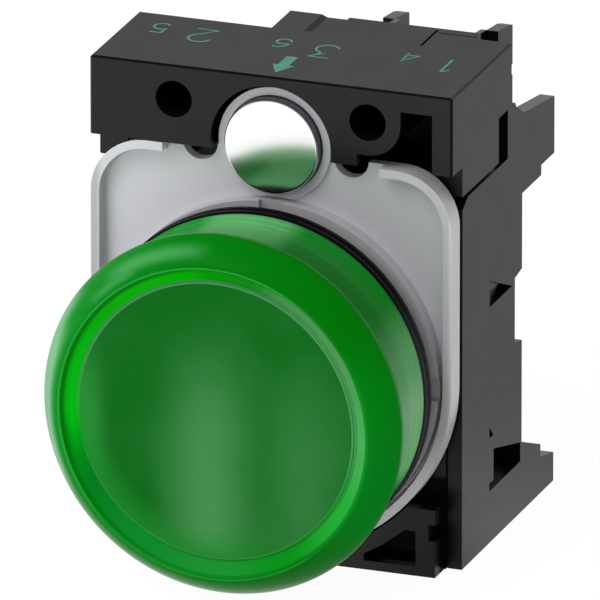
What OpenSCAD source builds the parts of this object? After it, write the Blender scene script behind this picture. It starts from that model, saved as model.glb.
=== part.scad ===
// Panel pilot light for a 22 mm hole: lens, barrel, clamp holder and LED module.
// The origin is on the lens axis at the panel's front face, which the seal rests on.
// X is to the right, Y goes back through the panel and Z is up, in millimetres.

/* [Panel] */
// Diameter of the hole in the panel
panel_hole_d = 22.3; // [21.6:0.1:22.9]
// Thickness of the panel, from the seal to the front of the holder
panel_t = 1.6; // [1:0.1:3]
// Clearance round the barrel in the panel and in the holder
barrel_clear = 0.15; // [0.1:0.05:0.25]

/* [Lens] */
// Widest diameter of the lens
lens_d = 29.45; // [28.6:0.05:30.2]
// How far the lens stands out from the panel
lens_projection = 11.7; // [10.6:0.1:13]
// Diameter of the raised front edge
crest_d = 25.66; // [25.2:0.02:26.4]
// Diameter of the domed face inside the raised edge
face_d = 22.8; // [21.6:0.1:23.4]
// Depth of the groove round the face, from the raised edge
groove_depth = 0.93; // [0.6:0.01:1.2]
// Width of the bottom of the groove
groove_w = 0.15; // [0.1:0.05:0.4]
// Step from the groove up to the edge of the face
face_step = 0.15; // [0.1:0.05:0.4]
// Rise of the face from its edge to its middle
face_dome = 0.3; // [0.1:0.05:0.5]
// Length of the rounded shoulder, from the raised edge to the widest place
shoulder_len = 2.5; // [2:0.1:3]
// Length of the curve from the widest place back to the collar
tuck_len = 1.6; // [1.2:0.1:2]
// Diameter of the collar
collar_d = 27; // [26.6:0.1:27.6]
// Rise of each fine ring at the back of the collar
collar_step = 0.12; // [0.06:0.02:0.16]
// Length of each fine ring at the back of the collar
collar_ring = 0.7; // [0.4:0.1:1]
// Wall of the lens
lens_wall = 1.3; // [1:0.1:1.5]

/* [Seals] */
// Diameter of the panel seal
seal_d = 27.8; // [27:0.1:28.4]
// Thickness of the panel seal
seal_t = 1.4; // [1:0.1:2]
// Depth of the groove in the edge of the panel seal
seal_groove = 0.22; // [0.1:0.02:0.4]
// Thickness of the ring between lens and barrel
oring_t = 1.1; // [0.9:0.05:1.3]

/* [Barrel] */
// Length of the barrel's sleeve inside the lens collar
sleeve_len = 5.5; // [4.5:0.1:6]
// How far the barrel reaches behind the front of the holder
barrel_reach = 8.4; // [7.4:0.1:8.8]
// Wall of the barrel
barrel_wall = 1.5; // [1.2:0.1:1.8]
// Width of the groove that holds the barrel in the holder
latch_w = 1.2; // [0.8:0.1:1.6]
// Depth of the groove that holds the barrel in the holder
latch_depth = 0.6; // [0.4:0.05:0.9]
// Width of the rib that stops the barrel turning in the panel
key_w = 3; // [2:0.1:3.1]
// How far the rib stands out from the barrel
key_h = 1.5; // [1:0.1:1.7]

/* [Diffuser] */
// Thickness of the diffuser
diffuser_t = 1; // [0.8:0.1:1.4]
// Number of rings on the diffuser
diffuser_rings = 6; // [3:1:8]

/* [Support ring] */
// Gap between the support ring and the rim of the plate
ring_gap = 0.37; // [0.2:0.01:0.6]
// Width of each notch in the support ring
ring_notch_w = 1.98; // [1:0.02:3]
// Depth of each notch in the support ring
ring_notch_depth = 0.42; // [0.2:0.02:0.8]
// Width of the lip by which the ring lies on the plate
ring_lip = 0.73; // [0.5:0.01:1]

/* [Clamp plate] */
// Distance of the clamp plate's edge from the side of the holder
plate_margin = 0.05; // [0:0.05:0.3]
// Height of the plate's top edge over the axis
plate_top = 17.6; // [17:0.1:17.6]
// Radius of the plate's top corners
plate_corner_r = 4.6; // [3.6:0.1:5.2]
// Thickness of the plate's floor
plate_t = 1; // [0.8:0.05:1.1]
// Depth of the plate's floor behind the edge of its rim
tray_depth = 1.2; // [1:0.05:1.4]
// Width of the rim
rim_w = 0.7; // [0.5:0.05:0.85]
// Radius of the fillet inside the foot of the rim
rim_fillet = 0.36; // [0.1:0.02:0.4]
// Half the gap in the rim at the top
rim_gap = 8.95; // [7.8:0.05:9.8]
// Radius of the two cut-outs in the top edge
cutout_r = 1.43; // [1:0.01:1.5]
// Distance of the cut-outs from the middle
cutout_x = 6.23; // [6.1:0.01:6.4]
// Width of the tongue's edge round the foot
tongue_edge = 0.72; // [0.5:0.02:0.9]
// How far the tongue's edge lies behind the front of the holder
tongue_y = 0.9; // [0.7:0.05:1.1]
// Depth of the pocket in the tongue
pocket_depth = 0.85; // [0.7:0.05:0.9]
// Length of the threaded collar behind the plate
nut_len = 2.2; // [1.6:0.1:2.6]
// Wall of the threaded collar
nut_wall = 1.3; // [1:0.1:1.5]

/* [Clamp screw] */
// Gap between the support ring and the clamp foot
foot_gap = 0.56; // [0.4:0.01:0.8]
// Diameter of the clamp foot
foot_d = 7.8; // [7.2:0.05:8]
// Thickness of the clamp foot
foot_t = 1.05; // [0.9:0.05:1.3]
// Bevel on the edge of the foot
foot_bevel = 0.14; // [0.05:0.01:0.3]
// Diameter of the clamp screw's thread
screw_d = 4; // [3.6:0.1:4.2]
// Distance from the foot to the head of the clamp screw
screw_len = 8; // [7.2:0.1:8.6]
// Diameter of the clamp screw's head
screw_head_d = 4.8; // [4.5:0.1:5]
// Height of the clamp screw's head
screw_head_h = 2.6; // [2:0.1:3]
// Diameter of the clamp screw's tip in the foot
screw_tip_d = 2; // [1.6:0.1:2.6]
// Radial clearance of a shaft that turns or slides in a hole
running_clear = 0.05; // [0.02:0.01:0.08]

/* [Holder] */
// Width of the holder
holder_w = 29.9; // [29.6:0.1:30.6]
// Height of the holder's top over the axis
holder_top = 24.1; // [23.6:0.1:25]
// Depth of the holder's bottom under the axis
holder_bottom = 15.65; // [15.3:0.05:16.4]
// Bevel on the block's upper and front edges
edge_bevel = 0.16; // [0.1:0.02:0.3]
// Height of the block's lower edge in front
slab_z = 17.65; // [17.65:0.05:17.8]
// Thickness of the block's front lip over the plate
slab_t = 2.4; // [2.3:0.1:2.8]
// Height of the block's underside over the axis
block_under = 15.2; // [15.1:0.05:15.35]
// Depth of the block at the sides
block_depth = 10.8; // [10:0.1:11.2]
// Depth of the block in the middle
block_reach = 15.1; // [14.4:0.1:16]
// Height of the underside of the block's rear overhang
overhang_z = 18.9; // [18.5:0.1:19.4]
// Gap between the tongue and the opening round it
arc_gap = 0.38; // [0.2:0.02:0.6]
// Diameter of the two holes in the front
front_hole_d = 3; // [2.4:0.1:3.6]
// Distance of the two holes from the middle
front_hole_x = 8; // [7.8:0.1:8.4]
// Height of the two holes over the axis
front_hole_z = 21.3; // [21.1:0.1:21.4]
// Depth of the two holes
front_hole_depth = 8; // [5:0.5:9]
// Radius of the boss round the right hole
boss_r = 2.7; // [2.3:0.1:2.75]
// Right edge of the recess beside the right hole
recess_x = 13.3; // [12.6:0.1:13.6]
// Top of the recess beside the right hole
recess_top = 22.48; // [22.2:0.02:23]
// Depth of the recess beside the right hole
recess_depth = 8.5; // [6:0.5:9]
// Depth of the holder's base, from its front to its back
base_depth = 8.78; // [8.4:0.02:9.2]
// Thickness of the base's front wall
base_t = 2; // [1.5:0.1:2.5]
// Wall of the base's skirt and ribs
skirt_t = 1.2; // [1:0.1:1.6]
// Wall of the socket round the barrel
socket_wall = 1.5; // [1.2:0.1:2]
// Half the width of the bottom bracket
bracket_x = 13.6; // [13.2:0.1:13.7]
// Height of the bracket's upper edge under the axis
bracket_z = 10.06; // [9.6:0.02:10.6]

/* [Side walls] */
// Thickness of the side walls
wall_t = 1.2; // [1:0.05:1.4]
// Distance of the walls' front edge from the front of the holder
wall_front = 2.45; // [2.3:0.05:2.8]
// Distance of the walls' back edge from the front of the holder
wall_back = 16.3; // [16:0.1:17]
// Height of the walls' top edge over the axis
wall_top = 14.85; // [14.6:0.05:14.95]
// Distance of the ears' and feet's back edge from the front of the holder
ear_reach = 23.79; // [22.6:0.1:25]
// Height of the ears' top over the axis
ear_top = 17.41; // [17:0.05:17.8]
// Height of the ears' lower edge over the axis
ear_under = 11.7; // [11.3:0.1:12.2]
// Depth of the recess behind the lower windows
foot_recess = 2.2; // [2:0.1:2.6]
// Thickness of the panel at the back of the recess
foot_panel_t = 0.8; // [0.6:0.1:1]
// Height of the rails that the module hooks on
rail_h = 1.65; // [1.4:0.05:2]
// Distance of the rails' front from the front of the holder
rail_front = 10.5; // [10.3:0.1:11]
// Depth of the rails
rail_depth = 4.4; // [3.8:0.1:5]

/* [LED module] */
// Width of the module
module_w = 9.66; // [9.3:0.02:9.9]
// Distance of the module's back from the front of the holder
module_reach = 42.5; // [41.5:0.1:45]
// Half the height of the module's body
module_h = 14.8; // [14.4:0.1:15]
// Half the height of the module's front part
nose_h = 10.8; // [10:0.1:11]
// Wall of the module's shells
shell_t = 1; // [0.8:0.05:1.2]
// Outer diameter of the tube round the LED
snout_d = 8.4; // [8:0.1:9]
// Length of the tube round the LED
snout_len = 4.9; // [4:0.1:5.5]
// Height of the rear cheeks' highest place over the axis
cheek_top = 16.05; // [15.8:0.05:16.6]
// Thickness of the module's rear wall
rear_t = 3.4; // [2.8:0.1:3.8]
// Length of each terminal chamber, from the partition to the rear wall
chamber_len = 4.5; // [4.3:0.1:4.8]
// Thickness of the latch arms
arm_t = 1.2; // [1:0.1:1.4]
// Height of the hook on each latch arm
hook_h = 1.1; // [0.8:0.1:1.3]

/* [Electronics] */
// Thickness of the circuit board
board_t = 1.2; // [1:0.1:1.6]
// Diameter of the LED
led_d = 5; // [4.6:0.1:5.4]
// Thickness of the LED's leads
lead_t = 0.5; // [0.4:0.05:0.6]
// Distance between the LED's leads
lead_pitch = 2.54; // [2:0.1:3]
// Diameter of the resistor
resistor_d = 3; // [2.4:0.1:3.4]
// Length of the resistor's body
resistor_len = 9; // [7:0.5:10]
// Diameter of the capacitor
capacitor_d = 3.8; // [3:0.1:3.9]
// Length of the capacitor
capacitor_len = 6.5; // [5:0.5:7]
// Height of the rectifier over the board
rectifier_h = 2.4; // [1.6:0.1:3]
// Length of the rectifier
rectifier_len = 5; // [4:0.5:5]
// Width of the rectifier
rectifier_w = 4; // [3:0.5:4]

/* [Terminals] */
// Distance of each terminal screw from the end of the module's body
terminal_inset = 4.4; // [4.2:0.05:4.6]
// Diameter of the terminal screws
terminal_screw_d = 3; // [2.6:0.1:3.4]
// Diameter of the terminal screws' heads
terminal_head_d = 5; // [4.6:0.1:5.2]
// Height of the terminal screws' heads
terminal_head_h = 2; // [1.6:0.1:2.2]
// How far the terminal screws reach in front of the partition
screw_reach = 1.2; // [0.8:0.1:1.4]
// Thickness of the contact strips
strip_t = 0.8; // [0.6:0.05:1]
// Width of each contact strip's plate
strip_w = 6.6; // [5.8:0.1:7]
// Width of each contact strip's tail
tail_w = 2; // [1.4:0.1:2.2]
// Side of the square terminal clamps
clamp_w = 6; // [5.4:0.1:6.4]
// Thickness of the terminal clamps
clamp_t = 1; // [0.8:0.05:1.2]

/* [Hidden] */
$fn = 96;

// Small overshoot of a cut past the face that it opens
cut = 0.5;
// Gap between pieces that are pushed together by hand
fit = 0.05;
// Gap between pieces that move past each other
free = 0.35;

// Places along Y, from the panel's front face backwards
front_y = panel_t;
tray_y = front_y + tray_depth;
seat_y = tray_y + plate_t;
tongue_front_y = front_y + tongue_y;
foot_back_y = front_y + foot_t;
screw_head_y = foot_back_y + screw_len;
base_back_y = front_y + base_depth;
rail_y = front_y + rail_front;
rail_back_y = rail_y + rail_depth;
shoulder_y = rail_back_y + 2 * fit;
nose_y = rail_y - hook_h;
wall_back_y = front_y + wall_back;
relief_y = front_y + ear_reach - 3.05;
rear_y = front_y + module_reach;
chamber_back_y = rear_y - rear_t;
chamber_y = chamber_back_y - chamber_len;
partition_y = chamber_y - shell_t;

// Radii about the lens axis
plate_r = holder_w / 2 - plate_margin;
ring_r = plate_r - rim_w - ring_gap;
barrel_r = panel_hole_d / 2 - barrel_clear;
bore_r = barrel_r - barrel_wall;
collar_r = collar_d / 2;
collar_bore_r = collar_r - lens_wall;
socket_r = barrel_r + barrel_clear;
ring_hub_r = ring_r - ring_lip;

// Places along Y in the lens, forward of the panel
crest_y = -lens_projection;
groove_y = crest_y + groove_depth;
face_y = groove_y - face_step;
widest_y = crest_y + shoulder_len;
sleeve_y = -seal_t - sleeve_len;
diffuser_y = sleeve_y - diffuser_t;

// Places in the holder
foot_z = ring_r + foot_gap + foot_d / 2;
tongue_r = foot_d / 2 + tongue_edge;
half_w = holder_w / 2;
inner_x = half_w - wall_t - fit;
plate_corner_x = plate_r - plate_corner_r;
plate_corner_z = plate_top - plate_corner_r;
nut_r = screw_d / 2 + nut_wall;
head_bore_r = screw_head_d / 2 + free;
ledge_z = 4.3 - holder_bottom;
foot_top = ledge_z + 1.49;
shaft_bore_r = screw_d / 2 + free;

// Places in the module
half_module = module_w / 2;
terminal_z = module_h - terminal_inset;
shell_x = half_module - shell_t;
board_x = -lead_t / 2;
arm_z = nose_h + 1;
snout_bore_r = snout_d / 2 - shell_t;
strip_back_y = chamber_y + strip_t;
clamp_y = strip_back_y + 2 * fit;
head_y = clamp_y + clamp_t + fit;
access_r = terminal_head_d / 2 + free;
rear_z = terminal_z + access_r + free;
floor_z = terminal_z - clamp_w / 2 - 1;
tail_z = floor_z + fit;
web_x = max(strip_w, clamp_w) / 2 + fit;

// Profile drawn in Y and Z, extruded along X
module along_x(x0, x1) {
    translate([x0, 0, 0])
        rotate([90, 0, 90])
            linear_extrude(x1 - x0)
                children();
}

// Profile drawn in X and Z, extruded along Y
module along_y(y0, y1) {
    translate([0, y1, 0])
        rotate([90, 0, 0])
            linear_extrude(y1 - y0)
                children();
}

// Profile drawn as radius and Y, turned about the lens axis
module turned() {
    rotate([-90, 0, 0])
        rotate_extrude()
            children();
}

// Round bar or bore along Y
module bar_y(y0, y1, r, x = 0, z = 0) {
    translate([x, y1, z])
        rotate([90, 0, 0])
            cylinder(h = y1 - y0, r = r);
}

// Box between two corners
module box(low, high) {
    translate(low)
        cube(high - low);
}

// Points on a quarter of an ellipse, by the angle from a0 to a1
function quarter(cx, cy, rx, ry, a0, a1, n) =
    [for (i = [0:n]) let (a = a0 + (a1 - a0) * i / n) [cx + rx * cos(a), cy + ry * sin(a)]];

// Front of the domed face, from the middle to its edge
function dome_points(r, n) =
    [for (i = [0:n]) let (q = i / n) [r * q, face_y - face_dome * (1 - q * q)]];

module lens_cap() {
    outside = concat(
        dome_points(face_d / 2 - face_step, 8),
        [[face_d / 2, face_y + face_step / 2],
         [face_d / 2, groove_y],
         [face_d / 2 + groove_w, groove_y],
         [crest_d / 2 - 0.25, crest_y + 0.1]],
        quarter(crest_d / 2, widest_y, lens_d / 2 - crest_d / 2, -shoulder_len, 90, 0, 10),
        quarter(collar_r, widest_y, lens_d / 2 - collar_r, tuck_len, 9, 90, 8),
        [[collar_r, -seal_t - 2 * collar_ring],
         [collar_r + collar_step, -seal_t - 2 * collar_ring + collar_step],
         [collar_r + collar_step, -seal_t - collar_ring],
         [collar_r + 2 * collar_step, -seal_t - collar_ring + collar_step],
         [collar_r + 2 * collar_step, -seal_t]]);
    inside = [[collar_bore_r, -seal_t],
              [collar_bore_r, widest_y],
              [face_d / 2 - lens_wall / 2, face_y + lens_wall],
              [0, face_y + lens_wall - face_dome]];
    color([0.05, 0.5, 0.12])
        turned()
            polygon(concat(outside, inside));
}

module lens_diffuser() {
    r = collar_bore_r - fit;
    pitch = (r - lens_wall) / (diffuser_rings + 1);
    ridges = [for (i = [diffuser_rings:-1:1])
                  each [[pitch * (i + 1), diffuser_y], [pitch * i, diffuser_y - pitch / 4]]];
    color([0.9, 0.92, 0.9])
        turned()
            polygon(concat([[0, sleeve_y], [r, sleeve_y], [r, diffuser_y]], ridges,
                           [[pitch, diffuser_y], [0, diffuser_y]]));
}

// The ring lies in its groove in the sleeve of the barrel
module lens_seal() {
    color([0.06, 0.06, 0.06])
        turned()
            translate([collar_bore_r - oring_t / 2, -seal_t - sleeve_len / 2])
                circle(d = oring_t);
}

module panel_seal() {
    r = seal_d / 2;
    color([0.07, 0.07, 0.08])
        turned()
            polygon([[barrel_r + fit, -seal_t],
                     [r - seal_groove / 2, -seal_t],
                     [r, -seal_t + seal_groove / 2],
                     [r, -seal_t / 2 - seal_groove],
                     [r - seal_groove, -seal_t / 2],
                     [r, -seal_t / 2 + seal_groove],
                     [r, -seal_groove / 2],
                     [r - seal_groove / 2, 0],
                     [barrel_r + fit, 0]]);
}

module actuator_barrel() {
    sleeve_r = collar_bore_r - fit;
    back_y = front_y + barrel_reach;
    latch_y = seat_y + base_t + fit;
    color([0.12, 0.12, 0.13]) {
        difference() {
            turned()
                polygon([[bore_r, sleeve_y],
                         [sleeve_r, sleeve_y],
                         [sleeve_r, -seal_t],
                         [barrel_r, -seal_t],
                         [barrel_r, latch_y],
                         [barrel_r - latch_depth, latch_y],
                         [barrel_r - latch_depth, latch_y + latch_w],
                         [barrel_r, latch_y + latch_w],
                         [barrel_r, back_y - latch_depth],
                         [barrel_r - latch_depth, back_y],
                         [bore_r, back_y]]);
            turned()
                translate([collar_bore_r - oring_t - fit, -seal_t - sleeve_len / 2 - oring_t / 2 - fit])
                    square([oring_t + cut, oring_t + 2 * fit]);
        }
        // Rib for the notch in the panel's hole
        box([-key_w / 2, 0, barrel_r - barrel_wall / 2],
            [key_w / 2, panel_t - 2 * fit, barrel_r + key_h]);
    }
}

module support_ring() {
    color([0.62, 0.62, 0.65])
        difference() {
            turned()
                polygon([[socket_r, front_y],
                         [ring_r, front_y],
                         [ring_r, tray_y],
                         [ring_hub_r, tray_y],
                         [ring_hub_r, seat_y],
                         [socket_r, seat_y]]);
            for (a = [0:90:270])
                rotate([0, a, 0])
                    box([-ring_notch_w / 2, front_y - cut, barrel_r],
                        [ring_notch_w / 2, front_y + ring_notch_depth, ring_r + cut]);
        }
}

// Outline of the clamp plate, set in by some distance
module plate_outline(inset = 0) {
    r = plate_r - inset;
    circle(r);
    translate([-r, 0])
        square([2 * r, plate_corner_z]);
    translate([-plate_corner_x, 0])
        square([2 * plate_corner_x, plate_top - inset]);
    for (side = [-1, 1])
        translate([side * plate_corner_x, plate_corner_z])
            circle(plate_corner_r - inset);
}

// Section of the fillet between the rim, at some distance from the middle, and the floor
module fillet_section(wall) {
    inner = wall - rim_fillet;
    translate([inner, tray_y - rim_fillet])
        polygon(concat(quarter(0, 0, rim_fillet, rim_fillet, 90, 0, 5),
                       [[rim_fillet + 2 * fit, 0],
                        [rim_fillet + 2 * fit, rim_fillet + 2 * fit],
                        [0, rim_fillet + 2 * fit]]));
}

// Right half of the fillet: the lower arc, the straight side, the corner and the end at the gap
module rim_fillets() {
    wall_r = plate_r - rim_w;
    rotate([-90, 0, 0])
        rotate_extrude(angle = 90)
            fillet_section(wall_r);
    linear_extrude(plate_corner_z)
        fillet_section(wall_r);
    translate([plate_corner_x, 0, plate_corner_z])
        rotate([-90, -90, 0])
            rotate_extrude(angle = 90)
                fillet_section(plate_corner_r - rim_w);
    translate([rim_gap, 0, plate_corner_z])
        rotate([0, -90, 0])
            mirror([0, 0, 1])
                linear_extrude(plate_corner_x - rim_gap)
                    fillet_section(plate_corner_r - rim_w);
}

module clamp_plate() {
    back_round = 0.25;
    color([0.72, 0.72, 0.75])
        difference() {
            union() {
                difference() {
                    union() {
                        along_y(front_y, seat_y - back_round)
                            plate_outline();
                        along_y(seat_y - 2 * back_round, seat_y)
                            plate_outline(back_round);
                    }
                    // Inside of the tray, and the gap in its rim at the top
                    along_y(front_y - cut, tray_y) {
                        plate_outline(rim_w);
                        translate([-rim_gap, 0])
                            square([2 * rim_gap, plate_top + cut]);
                    }
                }
                for (side = [0, 1])
                    mirror([side, 0, 0])
                        rim_fillets();
                bar_y(tongue_front_y, seat_y, tongue_r, z = foot_z);
                bar_y(seat_y - plate_t, seat_y + nut_len, nut_r, z = foot_z);
            }
            for (side = [-1, 1])
                bar_y(front_y, seat_y + cut, cutout_r, side * cutout_x, plate_top);
            bar_y(front_y, tray_y, ring_r + 2 * fit);
            bar_y(tray_y - cut, seat_y + cut, ring_hub_r + 2 * fit);
            bar_y(tongue_front_y - cut, tongue_front_y + pocket_depth, foot_d / 2 + 2 * running_clear,
                  z = foot_z);
            bar_y(front_y, seat_y + nut_len + cut, screw_d / 2 + running_clear, z = foot_z);
        }
}

module clamp_foot() {
    r = foot_d / 2;
    color([0.85, 0.85, 0.87])
        difference() {
            translate([0, 0, foot_z])
                turned()
                    polygon([[0, front_y],
                             [r - foot_bevel, front_y],
                             [r, front_y + foot_bevel],
                             [r, foot_back_y],
                             [0, foot_back_y]]);
            bar_y(front_y + foot_t / 3, foot_back_y + cut, screw_tip_d / 2 + running_clear, z = foot_z);
        }
}

module clamp_screw() {
    head_end = screw_head_y + screw_head_h;
    slot_w = screw_head_h * 0.3;
    color([0.7, 0.7, 0.72])
        difference() {
            union() {
                bar_y(front_y + foot_t / 3 + fit, foot_back_y + cut, screw_tip_d / 2, z = foot_z);
                bar_y(foot_back_y + fit, screw_head_y + cut, screw_d / 2, z = foot_z);
                bar_y(screw_head_y, head_end, screw_head_d / 2, z = foot_z);
            }
            box([-screw_head_d, head_end - slot_w, foot_z - slot_w / 2],
                [screw_head_d, head_end + cut, foot_z + slot_w / 2]);
        }
}

// Front outline of the top block's lip
module slab_outline() {
    hook_x = inner_x + 0.4;
    hook_z = plate_top - 1.4;
    difference() {
        union() {
            translate([-half_w, slab_z])
                square([holder_w, holder_top - slab_z]);
            translate([-hook_x, hook_z])
                square([2.3, slab_z - hook_z + cut]);
        }
        translate([-plate_corner_x, plate_corner_z])
            circle(plate_corner_r + 2 * fit);
    }
}

// Recess beside the right hole, open at the bottom
module recess_outline() {
    step_x = front_hole_x - 0.9;
    difference() {
        translate([step_x, slab_z - cut])
            square([recess_x - step_x, recess_top - slab_z + cut]);
        translate([front_hole_x, front_hole_z])
            circle(boss_r);
        translate([step_x - cut, front_hole_z - boss_r])
            square([front_hole_x + cut - step_x, holder_top]);
        translate([step_x - cut, front_hole_z])
            square([front_hole_x + boss_r + cut - step_x, holder_top]);
    }
}

module top_block() {
    block_y = front_y + block_depth;
    reach_y = front_y + block_reach;
    side_y = reach_y - 1.35;
    slit_x = front_hole_x + 0.4;
    left_x = -3.84;
    groove_x = 1.05;
    groove_w_top = 2.28;
    pocket_x = front_hole_x - boss_r - 1;
    difference() {
        union() {
            along_y(front_y, front_y + slab_t)
                slab_outline();
            box([-half_w, front_y + slab_t, block_under], [half_w, block_y, holder_top]);
            box([left_x, block_y, overhang_z], [recess_x - 1.4, reach_y, holder_top]);
            box([left_x, block_y, overhang_z], [half_w, side_y, holder_top]);
        }
        // Opening round the tongue, pocket for the plate's collar and the screw's channel
        bar_y(front_y - cut, seat_y + fit, tongue_r + arc_gap, z = foot_z);
        bar_y(front_y, seat_y + nut_len + free, nut_r + 2 * fit, z = foot_z);
        bar_y(front_y, reach_y + cut, shaft_bore_r, z = foot_z);
        bar_y(screw_head_y - 2, reach_y + cut, head_bore_r, z = foot_z);
        for (side = [-1, 1])
            bar_y(front_y - cut, front_y + front_hole_depth, front_hole_d / 2, side * front_hole_x,
                  front_hole_z);
        along_y(front_y - cut, front_y + recess_depth)
            recess_outline();
        // Pockets behind the cut-outs of the plate
        for (side = [-1, 1])
            box([side * cutout_x - cutout_r, seat_y - cut, block_under + 0.8],
                [side * cutout_x + cutout_r, front_y + recess_depth, slab_z]);
        // Cored left end, open at the back
        difference() {
            box([-half_w + skirt_t, front_y + slab_t + skirt_t, block_under + skirt_t],
                [-pocket_x, block_y + cut, holder_top - skirt_t]);
            bar_y(front_y, block_y + cut, boss_r, -front_hole_x, front_hole_z);
        }
        // Bevels on the front and side edges
        along_x(-half_w - cut, half_w + cut)
            polygon([[front_y - fit, holder_top - edge_bevel - fit],
                     [front_y + edge_bevel + fit, holder_top + fit],
                     [front_y - fit, holder_top + fit]]);
        for (side = [0, 1])
            mirror([side, 0, 0]) {
                along_y(front_y - cut, reach_y + cut)
                    polygon([[half_w + fit, holder_top - edge_bevel - fit],
                             [half_w + fit, holder_top + fit],
                             [half_w - edge_bevel - fit, holder_top + fit]]);
                translate([0, 0, slab_z - cut])
                    linear_extrude(holder_top)
                        polygon([[half_w + fit, front_y - fit],
                                 [half_w + fit, front_y + edge_bevel + fit],
                                 [half_w - edge_bevel - fit, front_y - fit]]);
            }
        // Groove, slits and step at the rear edge of the top
        along_y(block_y + 0.1, reach_y + cut)
            polygon([[groove_x - groove_w_top + 0.44, holder_top - 0.2],
                     [groove_x, holder_top - 0.2],
                     [groove_x, holder_top + cut],
                     [groove_x - groove_w_top, holder_top + cut],
                     [groove_x - groove_w_top, holder_top]]);
        box([slit_x, block_y, holder_top - 1], [slit_x + 0.2, reach_y - 0.4, holder_top + cut]);
        box([slit_x + 0.3, side_y + 0.25, holder_top - 0.5], [recess_x, side_y + 0.4, holder_top + cut]);
    }
}

// Front outline of the bottom bracket, clear of the plate
module bracket_outline() {
    window_x = bracket_x - 1.6;
    window_top = holder_bottom - 3.7;
    difference() {
        translate([-bracket_x, -holder_bottom])
            square([2 * bracket_x, holder_bottom - bracket_z]);
        circle(plate_r + 3 * fit);
        for (side = [-1, 1]) {
            difference() {
                translate([side * window_x - (side > 0 ? window_x - 7.7 : 0), -holder_bottom + 0.75])
                    square([window_x - 7.7, holder_bottom - 0.75 - window_top]);
                circle(plate_r + 1.37);
            }
            translate([side * bracket_x - 0.54, -window_top - 0.7])
                square([1.08, 1.35]);
        }
    }
}

module holder_base() {
    skirt_y = seat_y + base_t;
    socket_out_r = socket_r + socket_wall;
    ledge_half = 4;
    difference() {
        union() {
            difference() {
                box([-inner_x, seat_y, -holder_bottom], [inner_x, base_back_y, block_under + cut]);
                box([-inner_x + skirt_t, skirt_y, -holder_bottom + skirt_t],
                    [inner_x - skirt_t, base_back_y + cut, block_under + 2 * cut]);
            }
            bar_y(seat_y, base_back_y, socket_out_r);
            // Ribs from the socket to the skirt
            for (a = [30, 150, 210, 330])
                rotate([0, -a, 0])
                    box([socket_r + cut, seat_y, -skirt_t / 2],
                        [inner_x, base_back_y - socket_wall, skirt_t / 2]);
        }
        bar_y(seat_y - cut, base_back_y + cut, socket_r);
        bar_y(seat_y - cut, seat_y + nut_len + free, nut_r + 2 * fit, z = foot_z);
        // Windows of the bracket, cut through the base
        along_y(seat_y - cut, skirt_y + fit)
            for (side = [-1, 1])
                translate([side * (bracket_x - 3.75) - 2.15, -holder_bottom + skirt_t])
                    square([4.3, 1.8]);
    }
    // Two ledges that catch the groove of the barrel
    difference() {
        bar_y(skirt_y + 2 * fit, skirt_y + latch_w, socket_r + socket_wall / 2);
        bar_y(skirt_y - cut, skirt_y + latch_w + cut, barrel_r - latch_depth + 2 * fit);
        for (side = [0, 1])
            mirror([0, 0, side])
                box([-inner_x, skirt_y - cut, ledge_half], [inner_x, skirt_y + latch_w + cut, inner_x]);
    }
}

module holder_body() {
    color([0.16, 0.16, 0.17]) {
        top_block();
        holder_base();
        along_y(front_y, seat_y + cut)
            bracket_outline();
    }
}

// Side view of one wall, with its ear, its foot and its windows
module wall_outline() {
    step = 1.65;
    window_y = base_back_y;
    back_y = wall_back_y;
    ear_y = front_y + ear_reach;
    difference() {
        polygon([[front_y + wall_front, -holder_bottom],
                 [front_y + wall_front, wall_top - 0.75],
                 [front_y + wall_front + 1.25, wall_top],
                 [front_y + 12.9, wall_top],
                 [front_y + 12.9, overhang_z],
                 [front_y + 14.6, overhang_z],
                 [front_y + 14.9, overhang_z - 0.45],
                 [back_y + 0.4, ear_top],
                 [ear_y, ear_top - 1],
                 [ear_y, ear_under],
                 [relief_y, ear_under],
                 [relief_y, ear_under - 0.83],
                 [back_y, ear_under - 0.85],
                 [back_y, 4.64],
                 [back_y - step, 4.37],
                 [back_y - step, -1.1],
                 [back_y, -1.32],
                 [back_y, foot_top],
                 [relief_y, ledge_z - 0.2],
                 [relief_y, ledge_z - 1.25],
                 [ear_y, ledge_z - 1.92],
                 [ear_y, -holder_bottom]]);
        polygon([[window_y, 3.95], [window_y, 6.12], [back_y - step - 0.6, 3.95]]);
        polygon([[window_y, -6.92], [window_y, -6.02], [window_y + 0.91, -6.92]]);
        polygon([[window_y, ledge_z + 0.65], [window_y + 0.98, ledge_z + 0.65], [window_y + 0.98, -8.1],
                 [back_y - 0.3, foot_top + 0.11], [back_y - 0.3, ledge_z], [window_y, ledge_z]]);
    }
}

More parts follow.
